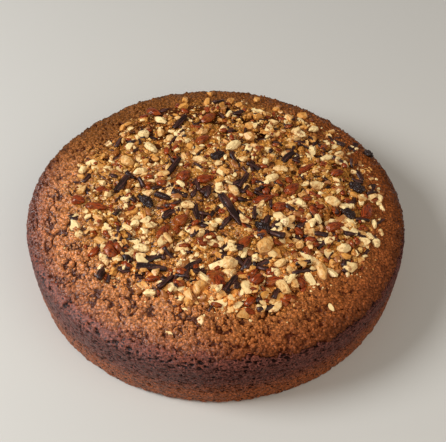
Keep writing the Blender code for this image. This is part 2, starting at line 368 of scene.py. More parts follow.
def next_ring(bm, rim, place):
    """Extrudes the open rim, and puts each new corner where place() says for its direction."""
    made = bmesh.ops.extrude_edge_only(bm, edges=rim)["geom"]
    for v in (g for g in made if isinstance(g, bmesh.types.BMVert)):
        v.co = place(Vector((v.co.x, v.co.y, 0)).normalized())
    return [g for g in made if isinstance(g, bmesh.types.BMEdge) and g.is_boundary]


def smooth_middle():
    """The middle of the top, before its crumb: a square grid of cells wrapped onto the dome."""
    form = settings().form
    dome = Dome()
    reach = dome.run_at(form.middle_radius)
    bm = bmesh.new()
    bmesh.ops.create_grid(bm, x_segments=form.middle_cells, y_segments=form.middle_cells, size=1)
    for v in bm.verts:
        part, bearing = round_off(v.co.x, v.co.y)
        v.co = dome.place(part * reach, bearing)
    return bm


def first_ring(bm, segments, place):
    """A ring of edges, each corner where place() says for its direction."""
    bmesh.ops.create_circle(bm, segments=segments, radius=1)
    for v in bm.verts:
        v.co = place(v.co.normalized())
    return bm.edges[:]


def down_the_dome(bm, start, rows, segments, capped):
    """Rings of quads from this run down to the widest ring, capped above or not. Returns the lower rim."""
    dome = Dome()
    runs = np.linspace(start, dome.runs[-1], rows + 1)
    rim = first_ring(bm, segments, lambda out: dome.place(runs[0], bearing_of(out)))
    if capped:
        bmesh.ops.contextual_create(bm, geom=rim)
    for run in runs[1:]:
        rim = next_ring(bm, rim, lambda out: dome.place(run, bearing_of(out)))
    return rim


def smooth_ring():
    """The outer ring of the top, before its crumb: from under the middle to below the widest ring."""
    form = settings().form
    bm = bmesh.new()
    start = Dome().run_at(form.middle_radius) - 2 * RING_OVERLAP
    rim = down_the_dome(bm, start, form.ring_rows, form.ring_segments, capped=False)
    for i in range(1, RING_WALL_ROWS + 1):
        rim = next_ring(bm, rim, lambda out: wall_place(out, i * RING_WALL_STEP))
    return bm


def smooth_side():
    """The side, foot and underside, before their crumb, from under the ring's edge down."""
    form = settings().form
    bm = bmesh.new()
    start = Dome().run_at(form.wall_start)
    rim = down_the_dome(bm, start, form.shoulder_rows, form.wall_segments, capped=True)
    for i in range(1, form.wall_rows + 1):
        rim = next_ring(bm, rim, lambda out: wall_place(out, i / form.wall_rows))
    for i in range(1, FOOT_ROWS + 1):
        rim = next_ring(bm, rim, lambda out: foot_place(out, FOOT_STEP * i))
    bmesh.ops.contextual_create(bm, geom=rim)
    return bm


# ---------------------------------------------------------------- where the toppings are

# The kinds of large topping, and the material slot of each.
KINDS = {
    "nut": "nut_flesh",
    "almond": "almond_skin",
    "sliver": "dried_fruit",
    "raisin": "raisin_skin",
}

# How far the topping's edge draws back behind, and how far past it loose pieces are spilt, and which way.
BARE_BEHIND = 7 * MM
SPILL = 12 * MM
SPILL_BEARING = math.radians(30)


def toppings(kind):
    """The names of the solids of one kind of topping."""
    return sorted(name for name in frame["nodes"] if name.startswith(kind + "_"))


def footprint(points):
    """(middle, direction, half length, half width) of a group of points, seen from above."""
    flat = np.asarray(points)[:, :2]
    spread = np.cov((flat - flat.mean(0)).T)
    along = np.linalg.eigh(spread)[1][:, 1]
    across = np.array([-along[1], along[0]])
    run, breadth = flat @ along, flat @ across
    middle = along * (run.min() + run.max()) / 2 + across * (breadth.min() + breadth.max()) / 2
    return middle, along, np.ptp(run) / 2, np.ptp(breadth) / 2


def points_of(node):
    mesh = frame["nodes"][node].data
    points = np.empty(len(mesh.vertices) * 3, np.float32)
    mesh.vertices.foreach_get("co", points)
    return points.reshape(-1, 3).astype(float)


def all_footprints():
    return [footprint(points_of(node)) for kind in KINDS for node in toppings(kind)]


def gap_to(prints, places):
    """Distance from each place to the edge of the nearest footprint, below zero inside one."""
    places = np.asarray(places, float)[:, :2]
    nearest = np.full(len(places), np.inf)
    for middle, along, half_length, half_width in prints:
        offset = places - middle
        run = np.clip(offset @ along, half_width - half_length, half_length - half_width)
        gap = np.hypot(*(offset - run[:, None] * along).T) - half_width
        nearest = np.minimum(nearest, gap)
    return nearest


def topping_edge(x, y):
    """How far inside the topping's ragged edge a place is, below zero outside it."""
    topping = settings().topping
    x, y = x - topping.middle_x, y - topping.middle_y
    bearing = math.atan2(y, x)
    ring = Vector((math.cos(bearing), math.sin(bearing), 0))
    wander = noise.noise(ring * 1.7 + Vector((5, 0, 3))) + 0.6 * noise.noise(ring * 5.1)
    bare = BARE_BEHIND * smooth_step(25 * MM, 80 * MM, y)
    return topping.radius - bare + topping.ragged * wander - math.hypot(x, y)


def spilt(place):
    """How much further than the glaze the loose pieces reach on the right, in metres."""
    return SPILL * smooth_step(0.7, 1.0, math.cos(bearing_of(place) - SPILL_BEARING))


# ---------------------------------------------------------------- the crust's crumb

# A lump's radius, as a share of its size, and the side of the ring that the oven broke up most.
LUMP_REACH = 0.85
BROKEN_BEARING = math.radians(215)

# These keep one pattern of noise from following another.
PIT_SHIFT = Vector((0, 9, 0))
SEAM_SHIFT = Vector((0, 4, 0))

# How much lower the crumb lies on the far side, and the top crust's edge behind and at the right.
FAR_DROP = 1.6 * MM
LOWER_BEHIND = 6.2 * MM
LOWER_ASIDE = 3.2 * MM

# How deep a skin goes under its neighbour, and the heights between which painted shade darkens its colour in
# the hollows.
TUCK = -2.6 * MM
HOLLOW_SHADE = (-0.15 * MM, -1.25 * MM)
SIDE_HOLLOW = (-0.3 * MM, -1.0 * MM)


def lumps(place, size):
    """A cobbled relief: 1 in the middle of each lump of this size, 0 in the creases between them."""
    near = noise.voronoi(place / size)[0][0]
    return max(0.0, 1 - (near / LUMP_REACH) ** 2)


def creases(place, size, width):
    """1 in the middle of the creases between lumps of this size, 0 a share of the size away from them."""
    near = noise.voronoi(place / size)[0]
    return smooth_step(width, 0.1 * width, near[1] - near[0])


def pits(place, size, low, high):
    """Small pits of this size: 1 in their middle, 0 between them."""
    return smooth_step(low, high, noise.noise(place / size + PIT_SHIFT))


def broken(place):
    """How much the oven broke up the top crust here: most on one side of the ring, least on the other."""
    turn = math.cos(bearing_of(place) - BROKEN_BEARING)
    return smooth_step(-0.6, 1.1, turn + 0.5 * ripple(place, 30 * MM))


def split(place):
    """Where the side has parted from the top crust: 1 on the right-hand half of the near side."""
    bearing = math.degrees(bearing_of(place))
    return smooth_step(-100, -80, bearing) * smooth_step(14, -6, bearing)


def cracks(place):
    """Open cracks across the baked ring: 1 in the middle of a crack."""
    bent = place / (15 * MM) + 0.45 * noise.noise_vector(place / (7 * MM))
    line = max(0.0, 1 - abs(noise.noise(bent)) / 0.06)
    return line * smooth_step(-0.1, 0.2, ripple(place, 26 * MM))


def ring_relief(place, bent):
    """Baked crumb in mm: small grains in clumps, with open creases where the oven broke it up."""
    clump = settings().form.clump
    wild = broken(place)
    opened = smooth_step(-0.25, 0.2, ripple(place, 8 * MM))
    crease = mix(0.3, 2.0, wild) * opened * creases(bent, clump, 0.24)
    pit = mix(0.5, 1.2, wild) * pits(place, 2.2 * MM, 0.2, 0.45)
    height = mix(0.25, 0.75, wild) * lumps(bent, clump) - crease - pit - 1.5 * wild * cracks(place)
    height += mix(0.35, 0.05, wild)
    calm = smooth_step(-7 * MM, 0, below_edge(place)) * (1 - split(place))
    return mix(height, 0.5 * height - 0.2, calm)


def middle_relief(place, bent):
    """Glazed crumb in mm: soft clumps of nut and crumb."""
    clump = settings().form.clump
    height = 2.2 * lumps(bent, 1.45 * clump) + 0.6 * lumps(bent, 0.6 * clump)
    return height - 1.5 * pits(place, 3.2 * MM, 0.12, 0.4) - 1.0


def top_relief(place, inside):
    """Height of the top crust's crumb in metres."""
    crumb = settings().form.crumb
    bent = nudged(place, 1.5 * MM, 3.4 * MM)
    glazed = smooth_step(-8 * MM, 7 * MM, inside)
    outer = ring_relief(place, bent) if glazed < 1 else 0
    inner = middle_relief(place, bent) if glazed > 0 else 0
    grain = lumps(nudged(place, 0.4 * MM, 1.5 * MM), crumb)
    fine = lumps(place, 0.55 * crumb)
    rough = mix(mix(0.55, 1.0, broken(place)), 0.5, glazed)
    uneven = 1.15 + 1.1 * ripple(place, 5 * MM)
    height = mix(outer, inner, glazed) + rough * (uneven * grain + 0.25 * fine)
    return (height - 0.75) * MM


def far_drop(place):
    """How much lower than the solid the crumb lies on the far side, in metres."""
    return FAR_DROP * smooth_step(30 * MM, 85 * MM, place.y)


def pores(place):
    """Small holes in the side, drawn out level: 1 in the middle of a hole."""
    moved = squat(place, 2.3) + 0.9 * MM * noise.noise_vector(place / (2 * MM))
    distances, middles = noise.voronoi(moved / (4 * MM))
    band = smooth_step(6 * MM, 20 * MM, place.z)
    reach = mix(0.16, 0.31, band) + 0.17 * noise.cell(middles[0] * 9.1)
    return smooth_step(reach, reach - 0.06, distances[0])


def side_relief(place):
    """Height of the side's fine crumb in metres: it lies in level rows, with small pores."""
    level = squat(place, 2.4)
    grain = lumps(place, 1.9 * MM)
    seam = smooth_step(0.04, 0.0, abs(noise.noise(level / (9 * MM) + SEAM_SHIFT)))
    height = 0.35 * ripple(level, 6 * MM) + 0.5 * grain - 1.8 * pores(place) - 0.5 * seam
    return (height - 0.2) * MM


def foot_relief(place):
    """The ragged outline of the foot, in metres."""
    return (0.9 * lumps(place, 4 * MM) - 0.6) * MM


def below_edge(place):
    """How far below the top crust's ragged edge a place lies, in metres."""
    edge = settings().form.crust_edge + lean_at(place.x, place.y)
    behind = LOWER_BEHIND * smooth_step(-85 * MM, 25 * MM, place.y)
    aside = LOWER_ASIDE * smooth_step(0, 60 * MM, place.x)
    ragged = 1.6 * MM * ripple(place, 9 * MM) + 1.5 * MM * ripple(place, 2.6 * MM)
    return edge - max(behind, aside) + mix(1, 0.5, behind / LOWER_BEHIND) * ragged - place.z


def side_share(place):
    """How far a place belongs to the side: 0 on the top crust, 1 below its ragged edge."""
    return smooth_step(-0.3 * MM, 0.8 * MM, below_edge(place))


def glaze_share(place, inside):
    """How far the glaze has soaked the crumb: 1 under the topping, 0 far outside it.

    It spreads least on the right.
    """
    soaked = mix(18, 8, smooth_step(30 * MM, 90 * MM, place.x)) * MM
    return smooth_step(-soaked, 8 * MM, inside + 7 * MM * ripple(place, 8 * MM))


def top_height(place, inside, gap, tucked):
    """The top crust's relief, level where a topping lies, and tucked under its neighbour at its edge."""
    height = top_relief(place, inside)
    if gap < 2 * MM:
        height = mix(0.3 * MM, height, smooth_step(-0.8 * MM, 1.2 * MM, gap))
    return mix(height, TUCK, tucked)


def side_height(place):
    """The side's relief, turned in under the top crust's edge, and ragged at the foot."""
    height = side_relief(place)
    if place.z < 8 * MM:
        height += foot_relief(place) * smooth_step(8 * MM, 3 * MM, place.z)
    parted = 1.0 * MM * split(place)
    return mix(TUCK, height, smooth_step(parted - 1.8 * MM, parted - 0.5 * MM, below_edge(place)))


def finished(name, bm, heights, **numbers):
    """Raises the smooth skin by these heights, and stores the numbers that its colours need."""
    for v, height in zip(bm.verts, heights):
        v.co += v.normal * height
        v.co.z = max(0.0, v.co.z)
    mesh = mesh_of(name, bm)
    for key, values in numbers.items():
        add_attribute(mesh, key, values)
    return mesh


def top_mesh(name, bm, tucked_at):
    """One skin of the top crust. tucked_at(place) is 1 where it goes under its neighbour."""
    face_outward(bm)
    gaps = gap_to(all_footprints(), [v.co for v in bm.verts])
    heights, hollow, glaze = [], [], []
    for v, gap in zip(bm.verts, gaps):
        inside = topping_edge(v.co.x, v.co.y)
        height = top_height(v.co, inside, gap, tucked_at(v.co))
        heights.append(height - far_drop(v.co))
        # painted shade: the lower the relief, the darker the colour in the hollows
        hollow.append(smooth_step(*HOLLOW_SHADE, height))
        glaze.append(glaze_share(v.co, inside))
    return finished(name, bm, heights, hollow=hollow, glaze=glaze)


def middle_mesh():
    """The glazed middle of the top."""
    bm = smooth_middle()
    bmesh.ops.contextual_create(bm, geom=boundary(bm))
    edge = settings().form.middle_radius

    def tucked_at(place):
        return smooth_step(edge - MM, edge, from_middle(place))

    return top_mesh("glazed_middle", bm, tucked_at)


def ring_mesh():
    """The baked ring round the middle, tucked in at both edges."""
    bm = smooth_ring()
    bmesh.ops.bridge_loops(bm, edges=boundary(bm))
    dome = Dome()
    run = dome.run_at(settings().form.middle_radius) - RING_OVERLAP
    start = float(np.interp(run, dome.runs, dome.radii))

    def tucked_at(place):
        return max(smooth_step(start, start - MM, from_middle(place)), side_share(place))

    return top_mesh("baked_ring", bm, tucked_at)


def side_mesh():
    """The side, the foot and the flat underside."""
    bm = smooth_side()
    face_outward(bm)
    heights = [side_height(v.co) if v.co.z > 0 else 0 for v in bm.verts]
    # painted shade: the side is darker where its relief is low
    hollow = [smooth_step(*SIDE_HOLLOW, height) for height in heights]
    drops = [far_drop(v.co) * smooth_step(12 * MM, 34 * MM, v.co.z) for v in bm.verts]
    return finished("side", bm, np.subtract(heights, drops), hollow=hollow)


# ---------------------------------------------------------------- small pieces, by the hundred

SEEDS = {
    "nut": 21,
    "almond": 42,
    "sliver": 42,
    "raisin": 42,
    "nut_forms": 31,
    "small_nuts": 32,
    "nut_specks": 33,
    "glazed_nuts": 34,
    "crumble": 41,
    "clusters": 43,
    "bit_forms": 51,
    "red_bits": 52,
    "dark_bits": 53,
    "crumbs": 61,
}

# What small pieces can lie on beside the crust.
HEAPS = ("crumble", "clusters")
LOWER_NUTS = (*HEAPS, "glazed_nuts", "fused_nuts")

# How each kind is strewn, lengths in mm: its shortest and longest, its width as a share of that, what it
# lies on, and where it differs from the defaults of strew().
STREWN = {
    "glazed_nuts": dict(sizes=(2.2, 6.5), flat=(0.5, 0.85), on=HEAPS, clearance=-0.3, sink=0.45),
    "small_nuts": dict(sizes=(2.6, 8), flat=(0.45, 0.8), on=LOWER_NUTS, clearance=0.5),
    "nut_specks": dict(sizes=(0.8, 2.0), flat=(0.6, 0.9), on=LOWER_NUTS, reach=20),
    "red_bits": dict(sizes=(2.5, 8.5), flat=(0.45, 0.75), on=LOWER_NUTS, clearance=1),
    "dark_bits": dict(sizes=(3.5, 10), flat=(0.32, 0.55), on=LOWER_NUTS, clearance=1, skew=1.2),
}

# The curls shaved off a nut that lie alone on the near side: across, away, length and width in mm, and
# the heading in degrees.
CURLS = (
    (-2, -81, 6.0, 3.4, 100),
    (-26, -99, 6.5, 2.2, -35),
    (-17, -86, 5.0, 1.8, -40),
    (66, -80, 5.5, 3.0, 120),
    (56, -66, 6.0, 2.6, 10),
)

# Rays look for the ground from this height, and find it no lower than the other.
RAY_START = 0.1
LOWEST_REST = 0.02

# How much a piece rights itself: 0 leaves it square to the crust under it.
UPRIGHT = 0.6

# How far inside the cake's widest radius toppings and loose crumbs stay.
RIM_MARGIN = 5 * MM
CRUMB_MARGIN = 1.5 * MM

# How many different forms the copies of a kind have.
CRUMB_FORMS = 12
CRUMBLE_FORMS = 14
CLUSTER_FORMS = 9
CHIP_FORMS = 12
SLICE_FORMS = 4
SPECK_FORMS = 8


def form_of(bm):
    """A finished small form as (points, triangles)."""
    bmesh.ops.triangulate(bm, faces=bm.faces[:])
    bmesh.ops.recalc_face_normals(bm, faces=bm.faces[:])
    bm.verts.index_update()
    points = np.array([v.co for v in bm.verts])
    faces = np.array([[v.index for v in f.verts] for f in bm.faces])
    bm.free()
    return points, faces


def cut_flat(bm, normal, distance):
    """Cuts off what lies beyond a plane, and closes the cut with a flat face."""
    bmesh.ops.bisect_plane(
        bm,
        geom=bm.verts[:] + bm.edges[:] + bm.faces[:],
        plane_co=normal * distance,
        plane_no=normal,
        clear_outer=True,
    )
    bmesh.ops.holes_fill(bm, edges=boundary(bm))


def chip_form(draw, curved=0.0):
    """A chopped nut, 2 across each way: a lump with flat knife cuts."""
    bm = bmesh.new()
    bmesh.ops.create_icosphere(bm, subdivisions=1, radius=1.25)
    for i in range(4):
        bearing = math.tau * (i + draw.uniform(-0.35, 0.35)) / 4
        normal = Vector((math.cos(bearing), math.sin(bearing), draw.uniform(-0.4, 0.7))).normalized()
        cut_flat(bm, normal, draw.uniform(0.55, 0.95))
    top = Vector((draw.uniform(-0.5, 0.5), draw.uniform(-0.5, 0.5), 1)).normalized()
    cut_flat(bm, top, draw.uniform(0.6, 0.85))
    for v in bm.verts:
        v.co.y -= curved * (v.co.x**2 - 0.4)
        v.co.z += 0.4 * abs(curved) * (0.4 - v.co.x**2)
    return form_of(bm)


def slice_form(draw):
    """A thin sliver shaved off a nut, 2 long: a curved, uneven flake."""
    bm = bmesh.new()
    bmesh.ops.create_grid(bm, x_segments=5, y_segments=1, size=1)
    bend = draw.uniform(0.3, 0.9)
    for v in bm.verts:
        taper = 1 - 0.75 * abs(v.co.x) ** 2.5
        v.co.y = v.co.y * taper * draw.uniform(0.8, 1) - bend * (v.co.x**2 - 0.4)
        v.co.z = 0.5 * (0.4 - v.co.x**2) + draw.uniform(-0.1, 0.1)
    bmesh.ops.solidify(bm, geom=bm.faces[:], thickness=0.45)
    return form_of(bm)


def grain_form(draw):
    """A single crumb, 2 across: a rounded lump of a few faces."""
    bm = bmesh.new()
    bmesh.ops.create_icosphere(bm, subdivisions=1, radius=1)
    for v in bm.verts:
        v.co *= draw.uniform(0.62, 1.3)
    return form_of(bm)


def lump_form(draw, roughness):
    """A rounded, uneven lump, 2 across each way."""
    bm = bmesh.new()
    bmesh.ops.create_uvsphere(bm, u_segments=6, v_segments=5, radius=1)
    shift = Vector(draw.uniform(0, 40, 3))
    for v in bm.verts:
        v.co *= 1 + roughness * noise.noise(v.co * 1.5 + shift)
    return form_of(bm)


def stick_form(draw, stations=5, sides=6):
    """A splinter, 2 long: a ridged, tapered and slightly bent stick."""
    bm = bmesh.new()
    turned = Matrix.Rotation(math.pi / 2, 4, "Y")
    bmesh.ops.create_cone(
        bm, cap_ends=True, segments=sides, radius1=1, radius2=0.75, depth=2, matrix=turned
    )
    long_edges = [e for e in bm.edges if abs(e.verts[0].co.x - e.verts[1].co.x) > 1]
    bmesh.ops.subdivide_edges(bm, edges=long_edges, cuts=stations - 2, use_grid_fill=True)
    bend = draw.uniform(-0.5, 0.5)
    for v in bm.verts:
        side = round(math.atan2(v.co.z, v.co.y) / math.tau * sides) % 2
        girth = (0.72 if side else 1.05) + draw.uniform(-0.12, 0.12)
        v.co.y = v.co.y * girth + bend * (v.co.x**2 - 0.5)
        v.co.z *= girth
    return form_of(bm)


def crust_normal(x, y):
    """Which way the smooth dome faces over this place."""
    east = crust_height(x + MM, y) - crust_height(x - MM, y)
    north = crust_height(x, y + MM) - crust_height(x, y - MM)
    return Vector((-east, -north, 2 * MM)).normalized()


class Ground:
    """What a piece can come to rest on: the top crust and the pieces named, all made before it."""

    def __init__(self, *names):
        graph = bpy.context.evaluated_depsgraph_get()
        crust = ("baked_ring", "glazed_middle")
        self.trees = [BVHTree.FromObject(bpy.data.objects[name], graph) for name in crust + names]

    def under(self, x, y):
        """The highest point under this place, or None beside the cake."""
        start, down = Vector((x, y, RAY_START)), Vector((0, 0, -1))
        places = [tree.ray_cast(start, down)[0] for tree in self.trees]
        found = [place for place in places if place is not None]
        return max(found, key=lambda place: place.z, default=None)


def lay(ground, x, y, heading, tilt, sink, size, lift=0.0):
    """The matrix that lays a form of this size on the ground, or None off the cake's top."""
    place = ground.under(x, y)
    if place is None or place.z < LOWEST_REST:
        return None
    normal = crust_normal(x, y)
    ideal = Vector((normal.x + tilt[0], normal.y + tilt[1], normal.z + UPRIGHT)).normalized()
    slope = Vector((0, 0, 1)).rotation_difference(ideal).to_matrix().to_4x4()
    middle = place + ideal * (size[2] * (0.5 - sink) + lift)
    half = Matrix.Diagonal((size[0] / 2, size[1] / 2, size[2] / 2, 1))
    return Matrix.Translation(middle) @ slope @ Matrix.Rotation(heading, 4, "Z") @ half


def sized(draw, long, wide, high):
    """(length, width, height) of a piece this long: the other two are a random share of its length."""
    return long, long * draw.uniform(*wide), long * draw.uniform(*high)


def pour(name, forms, laid):
    """One mesh of many small copies. laid holds (number of the form, matrix, tone, glaze, hollow)."""
    points, faces, local, rise, numbers, start = [], [], [], [], [], 0
    for k, matrix, *rest in laid:
        form, triangles = forms[k]
        matrix = np.array(matrix)
        scale = np.linalg.norm(matrix[:3, :3], axis=0)
        points.append(form @ matrix[:3, :3].T + matrix[:3, 3])
        faces.append(triangles + start)
        local.append(form * scale + rest[0] * 0.5)
        rise.append(form[:, 2])
        numbers.append(np.tile(rest, (len(form), 1)))
        start += len(form)
    mesh = bpy.data.meshes.new(name)
    mesh.from_pydata(np.concatenate(points), [], np.concatenate(faces))
    add_attribute(mesh, "local", np.concatenate(local))
    add_attribute(mesh, "rise", np.concatenate(rise))
    for key, column in zip(("tone", "glaze", "hollow"), np.concatenate(numbers).T):
        add_attribute(mesh, key, column)
    return mesh


def crowding(place):
    """How thickly the toppings lie: in drifts, less behind and on the left."""
    patch = smooth_step(-0.4, 0.25, ripple(place, 15 * MM))
    crowded = mix(0.4, 1, patch) * mix(1, 0.6, smooth_step(-60 * MM, 70 * MM, place.y))
    return crowded * mix(0.7, 1, smooth_step(-95 * MM, -45 * MM, place.x))


def scattered(draw, number, reach, clearance):
    """Random places on the topping, each clear of the large pieces, thinning out past its edge."""
    topping = settings().topping
    angle = draw.uniform(0, math.tau, number * 3)
    radius = (topping.radius + reach) * np.sqrt(draw.uniform(0, 1, number * 3))
    across = topping.middle_x + radius * np.cos(angle)
    away = topping.middle_y + radius * np.sin(angle)
    places = np.stack([across, away], 1)
    keep = gap_to(all_footprints(), places) > clearance
    limit = (settings().form.radius - RIM_MARGIN) ** 2
    found = []
    for x, y in places[keep]:
        place = Vector((x, y, 0))
        inside = topping_edge(x, y) + spilt(place)
        likely = smooth_step(-reach, 4 * MM, inside) * crowding(place)
        if x * x + y * y < limit and draw.random() < likely:
            found.append((x, y, inside))
    return found[:number]


def strew(name, forms, number, sizes, flat, on, reach=14, clearance=0, skew=1.8, sink=0.3):
    """Scatters forms over the topping and returns them as one mesh. Lengths are in mm.

    Of the sizes, a higher skew takes the smaller ones more often. They are largest on the near side.
    """
    draw = np.random.default_rng(SEEDS[name])
    ground = Ground(*on)
    laid = []
    for x, y, inside in scattered(draw, number, reach * MM, clearance * MM):
        nearness = mix(1.3, 0.88, smooth_step(-70 * MM, 60 * MM, y))
        long = mix(sizes[0] * MM, sizes[1] * MM, draw.random() ** skew) * nearness
        size = (long, long * draw.uniform(*flat), long * draw.uniform(*flat) * 0.6)
        lean = draw.normal(0, 0.35, 2)
        matrix = lay(ground, x, y, draw.uniform(0, math.tau), lean, sink, size)
        if matrix is not None:
            shine = smooth_step(-7 * MM, 7 * MM, inside)
            laid.append((draw.integers(len(forms)), matrix, draw.random(), shine, 0))
    return pour(name, forms, laid)


def fused_mesh(forms, draw):
    """The small nuts that are fused to the cake's solid, each dressed at its own place."""
    ground = Ground()
    laid = []
    for middle, along, half_length, half_width in fused_chips():
        size = (half_length * 2.3, half_width * 2.3, half_width * 1.9)
        heading = math.atan2(along[1], along[0])
        matrix = lay(ground, *middle, heading, draw.normal(0, 0.15, 2), 0.2, size)
        tone = mix(draw.random(), 1, 0.9 * smooth_step(55 * MM, 85 * MM, middle[1]))
        laid.append((draw.integers(len(forms)), matrix, tone, 1, 0))
    return pour("fused_nuts", forms, laid)


def curls_mesh(draw):
    """The curls, each at its own place on the loose crumbs of the ring."""
    forms = [slice_form(draw) for _ in CURLS]
    ground = Ground("baked_crumbs")
    laid = []
    for k, (x, y, long, wide, heading) in enumerate(CURLS):
        size = (long * MM, wide * MM, 0.5 * wide * MM)
        matrix = lay(ground, x * MM, y * MM, math.radians(heading), (0, 0), 0.1, size)
        laid.append((k, matrix, 0.2, 1, 0))
    return pour("nut_curls", forms, laid)


def crumb_mesh(name, step, glazed):
    """The loose crumbs on the crust, this far apart, inside the topping's edge or outside it."""
    form = settings().form
    draw = np.random.default_rng(SEEDS["crumbs"])
    forms = [grain_form(draw) for _ in range(CRUMB_FORMS)]
    ground = Ground()
    row_step = math.sin(math.pi / 3)
    rows = round(2 * form.radius / (step * row_step))
    columns = round(2 * form.radius / step)
    laid = []
    for row in range(rows):
        for column in range(columns):
            x = (column + 0.5 * (row % 2) - columns / 2) * step + draw.normal(0, 0.32) * step
            y = (row - rows / 2) * step * row_step + draw.normal(0, 0.32) * step
            long = min(2.8, 1.35 * math.exp(draw.normal(0, 0.38))) * MM
            size = sized(draw, long, (0.65, 1), (0.6, 0.95))
            heading, lean, tone = draw.uniform(0, math.tau), draw.normal(0, 0.3, 2), draw.random()
            k = draw.integers(len(forms))
            inside = topping_edge(x, y)
            if (inside > 0) != glazed or math.hypot(x, y) > form.radius - CRUMB_MARGIN:
                continue
            place = Vector((x, y, crust_height(x, y)))
            if side_share(place) > 0.6:
                continue
            # painted shade: a crumb that lies in a hollow of the crust is darker
            deep = smooth_step(*HOLLOW_SHADE, top_relief(place, inside))
            matrix = lay(ground, x, y, heading, lean, 0.6, size)
            if matrix is not None:
                laid.append((k, matrix, tone, glaze_share(place, inside), deep))
    return pour(name, forms, laid)


def crumble_mesh():
    """Toasted clusters of crumb, each heaped from a few rounded lumps."""
    draw = np.random.default_rng(SEEDS["crumble"])
    forms = [lump_form(draw, 0.75) for _ in range(CRUMBLE_FORMS)]
    ground = Ground()
    laid = []
    for x, y, _ in scattered(draw, settings().topping.crumbles, 8 * MM, -0.5 * MM):
        reach = mix(1.1, 3.2, draw.random() ** 1.5) * MM
        toast = draw.random()
        for _ in range(int(3 + 3.4 * reach / (2 * MM))):
            angle, out = draw.uniform(0, math.tau), math.sqrt(draw.random())
            size = sized(draw, draw.uniform(1.6, 3.4) * MM, (0.6, 1), (0.6, 0.9))
            lift = 0.45 * reach * (1 - out**2)
            spot = (x + reach * out * math.cos(angle), y + reach * out * math.sin(angle))
            heading, lean = draw.uniform(0, math.tau), draw.normal(0, 0.3, 2)
            matrix = lay(ground, *spot, heading, lean, 0.35, size, lift)
            tone = min(1, max(0, toast + draw.normal(0, 0.12)))
            # painted shade: lumps toward the foot of a cluster are darker
            if matrix is not None:
                laid.append((draw.integers(len(forms)), matrix, tone, 1, 0.35 * out))
    return pour("crumble", forms, laid)


def cluster_form(draw):
    """A cluster of nut and crumb held by honey, 2 across: a lump with rounded grains all over it."""
    bm = bmesh.new()
    bmesh.ops.create_icosphere(bm, subdivisions=3, radius=0.8)
    shift = Vector(draw.uniform(0, 40, 3))
    for v in bm.verts:
        form = 0.65 * noise.noise(v.co * 1.6 + shift)
        v.co *= 1 + form + 0.5 * lumps(v.co + shift, 0.5)
    return form_of(bm)


def cluster_mesh():
    """The larger clusters between the nuts."""
    draw = np.random.default_rng(SEEDS["clusters"])
    forms = [cluster_form(draw) for _ in range(CLUSTER_FORMS)]
    ground = Ground()
    laid = []
    for x, y, _ in scattered(draw, settings().topping.clusters, 6 * MM, -MM):
        long = mix(3.6, 7.5, draw.random() ** 1.4) * MM
        size = sized(draw, long, (0.55, 0.9), (0.32, 0.5))
        matrix = lay(ground, x, y, draw.uniform(0, math.tau), draw.normal(0, 0.15, 2), 0.4, size)
        if matrix is not None:
            laid.append((draw.integers(len(forms)), matrix, draw.uniform(0.1, 0.9), 1, 0))
    return pour("clusters", forms, laid)


# ---------------------------------------------------------------- large toppings

# What each point of a large topping knows of its place on it.
NUMBERS = ("tone", "proud", "crest", "rise")
NUT_VOXEL = 0.33 * MM
FRUIT_VOXEL = 0.28 * MM

# How far a small nut stands out of the smooth dome, and how few points of it count as one.
PROUD = 0.55 * MM
FEWEST_POINTS = 4


def refined(node, voxel):
    """A copy of a topping's solid, as an even and much finer mesh."""
    mesh = mesh_of(node, merged(node))
    obj = bpy.data.objects.new("rough", mesh)
    bpy.context.scene.collection.objects.link(obj)
    remesh = obj.modifiers.new("even", "REMESH")
    remesh.mode = "VOXEL"
    remesh.voxel_size = voxel
    bm = bmesh.new()
    bm.from_object(obj, bpy.context.evaluated_depsgraph_get())
    bpy.data.objects.remove(obj)
    bpy.data.meshes.remove(mesh)
    return bm


def soften(bm, times):
    """Rounds the mesh a little, and returns how far each point stood proud: large on edges."""
    before = [v.co.copy() for v in bm.verts]
    bm.normal_update()
    outward = [v.normal.copy() for v in bm.verts]
    every_way = {"use_axis_x": True, "use_axis_y": True, "use_axis_z": True}
    for _ in range(times):
        bmesh.ops.smooth_vert(bm, verts=bm.verts, factor=0.5, **every_way)
    return [(old - v.co).dot(out) for old, v, out in zip(before, bm.verts, outward)]


def local_axes(bm):
    """The middle of a piece, and its axes: along, across and up."""
    points = np.array([v.co for v in bm.verts])
    middle, along, _, _ = footprint(points)
    centre = Vector((*middle, points[:, 2].mean()))
    ahead = Vector((*along, 0))
    return centre, Matrix((ahead, Vector((-ahead.y, ahead.x, 0)), Vector((0, 0, 1))))


def chop(bm, centre, draw, cuts):
    """Flattens the piece where a knife took a thin slice off it, this many times."""
    for _ in range(cuts):
        out = Vector(draw.normal(0, 1, 3))
        out.z = abs(out.z)
        out.normalize()
        limit = max((v.co - centre).dot(out) for v in bm.verts) * draw.uniform(0.68, 0.86)
        for v in bm.verts:
            v.co -= out * max(0.0, (v.co - centre).dot(out) - limit)


